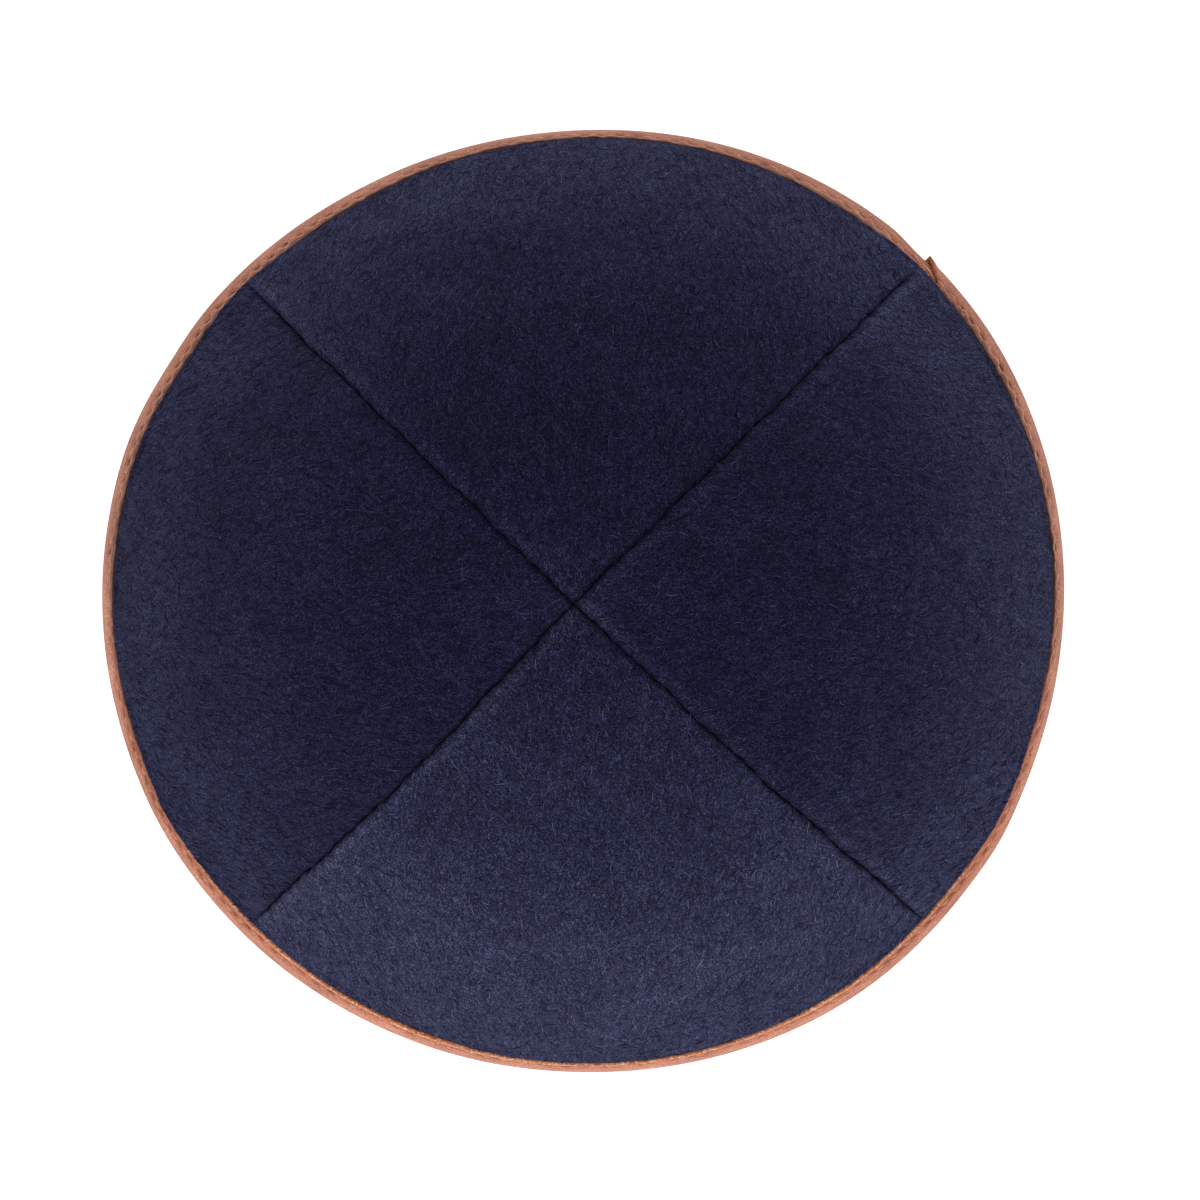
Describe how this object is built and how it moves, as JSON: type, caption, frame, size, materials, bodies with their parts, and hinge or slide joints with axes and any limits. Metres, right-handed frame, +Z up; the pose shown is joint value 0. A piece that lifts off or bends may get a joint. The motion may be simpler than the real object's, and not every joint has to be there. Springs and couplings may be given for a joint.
{
  "type": "kippah skullcap",
  "caption": "Shallow round skullcap of four wedge-shaped wool panels seamed to a crown tip, its rim bound with a folded leather strip that it rests on",
  "frame": {"origin": "On the surface the cap rests on, under the middle of its rim's bounding box", "axes": "+Z up through the crown, +X to the right and +Y to the top of the picture's straight-down view, so -Y is the front"},
  "size_m": [0.1762, 0.1728, 0.0539],
  "materials": {
    "wool": "matted navy wool cloth",
    "leather": "smooth tan leather, satin, with raw cut edges"
  },
  "bodies": {
    "root": {"panel_front": "wool", "panel_right": "wool", "panel_back": "wool", "panel_left": "wool", "rim_binding": "leather"}
  },
  "joints": []
}
